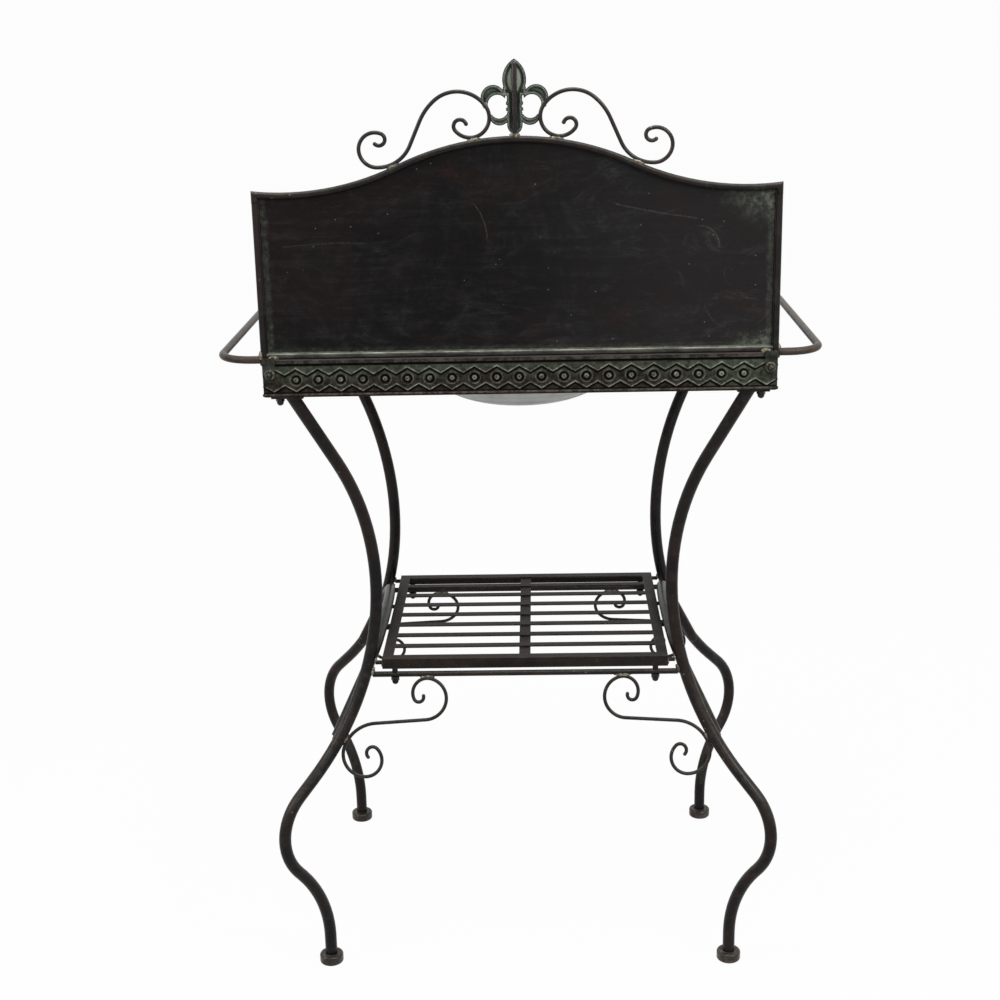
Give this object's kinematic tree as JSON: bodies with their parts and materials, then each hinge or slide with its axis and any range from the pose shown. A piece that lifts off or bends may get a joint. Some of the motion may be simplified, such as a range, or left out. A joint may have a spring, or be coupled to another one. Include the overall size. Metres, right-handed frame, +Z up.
{
  "type": "wash basin stand",
  "caption": "Wrought iron wash basin stand with S-curved legs, arched splashback, scrolled crest, towel rails, slatted shelf and a lift-out round basin.",
  "frame": {"origin": "on the floor, under the middle of the table", "axes": "+X towards the right-hand towel rail, +Y towards the splashback, +Z up; the user stands on the -Y side"},
  "size_m": [0.79, 0.533, 1.2664],
  "materials": {
    "dark_iron": "satin black-brown lacquer, rubbed through in places",
    "worn_iron": "satin brown-black lacquer, worn to brown on the edges",
    "patina_iron": "satin dark lacquer with grey-green patina rubbed into the relief",
    "zinc": "brushed zinc"
  },
  "bodies": {
    "stand": {"tabletop": "dark_iron", "apron_front": "patina_iron", "apron_back": "patina_iron", "apron_left": "patina_iron", "apron_right": "patina_iron", "corner_gussets": "dark_iron", "splash_sheet": "dark_iron", "splash_rim": "worn_iron", "splash_roll": "worn_iron", "splash_straps": "worn_iron", "strap_bolts": "dark_iron", "strap_washers": "worn_iron", "strap_nuts": "worn_iron", "crest_scroll_left": "worn_iron", "crest_scroll_right": "worn_iron", "finial": "patina_iron", "leg_front_left": "dark_iron", "leg_front_right": "dark_iron", "leg_back_left": "dark_iron", "leg_back_right": "dark_iron", "foot_front_left": "dark_iron", "foot_front_right": "dark_iron", "foot_back_left": "dark_iron", "foot_back_right": "dark_iron", "leg_pads": "dark_iron", "leg_bolts": "dark_iron", "leg_nuts": "dark_iron", "arch_left": "dark_iron", "arch_right": "dark_iron", "arch_lugs": "dark_iron", "arch_studs": "dark_iron", "arch_nuts": "dark_iron", "crossbar_front": "dark_iron", "crossbar_back": "dark_iron", "shelf_angle_front": "patina_iron", "shelf_angle_back": "patina_iron", "shelf_angle_left": "patina_iron", "shelf_angle_right": "patina_iron", "slat_1": "patina_iron", "slat_2": "patina_iron", "slat_3": "patina_iron", "slat_4": "patina_iron", "slat_5": "patina_iron", "slat_6": "patina_iron", "slat_7": "patina_iron", "shelf_strap": "patina_iron", "shelf_pegs": "worn_iron", "arch_pegs": "worn_iron", "shelf_standoffs": "dark_iron", "shelf_studs": "dark_iron", "shelf_nuts": "dark_iron", "bracket_front_left": "dark_iron", "bracket_front_right": "dark_iron", "bracket_back_left": "dark_iron", "bracket_back_right": "dark_iron", "rail_left": "worn_iron", "rail_right": "worn_iron"},
    "basin": {"basin": "zinc"}
  },
  "joints": [
    {"name": "basin_lift", "type": "slide", "parent": "stand", "child": "basin", "axis": [0, 0, 1], "range_m": [0, 0.2]}
  ]
}
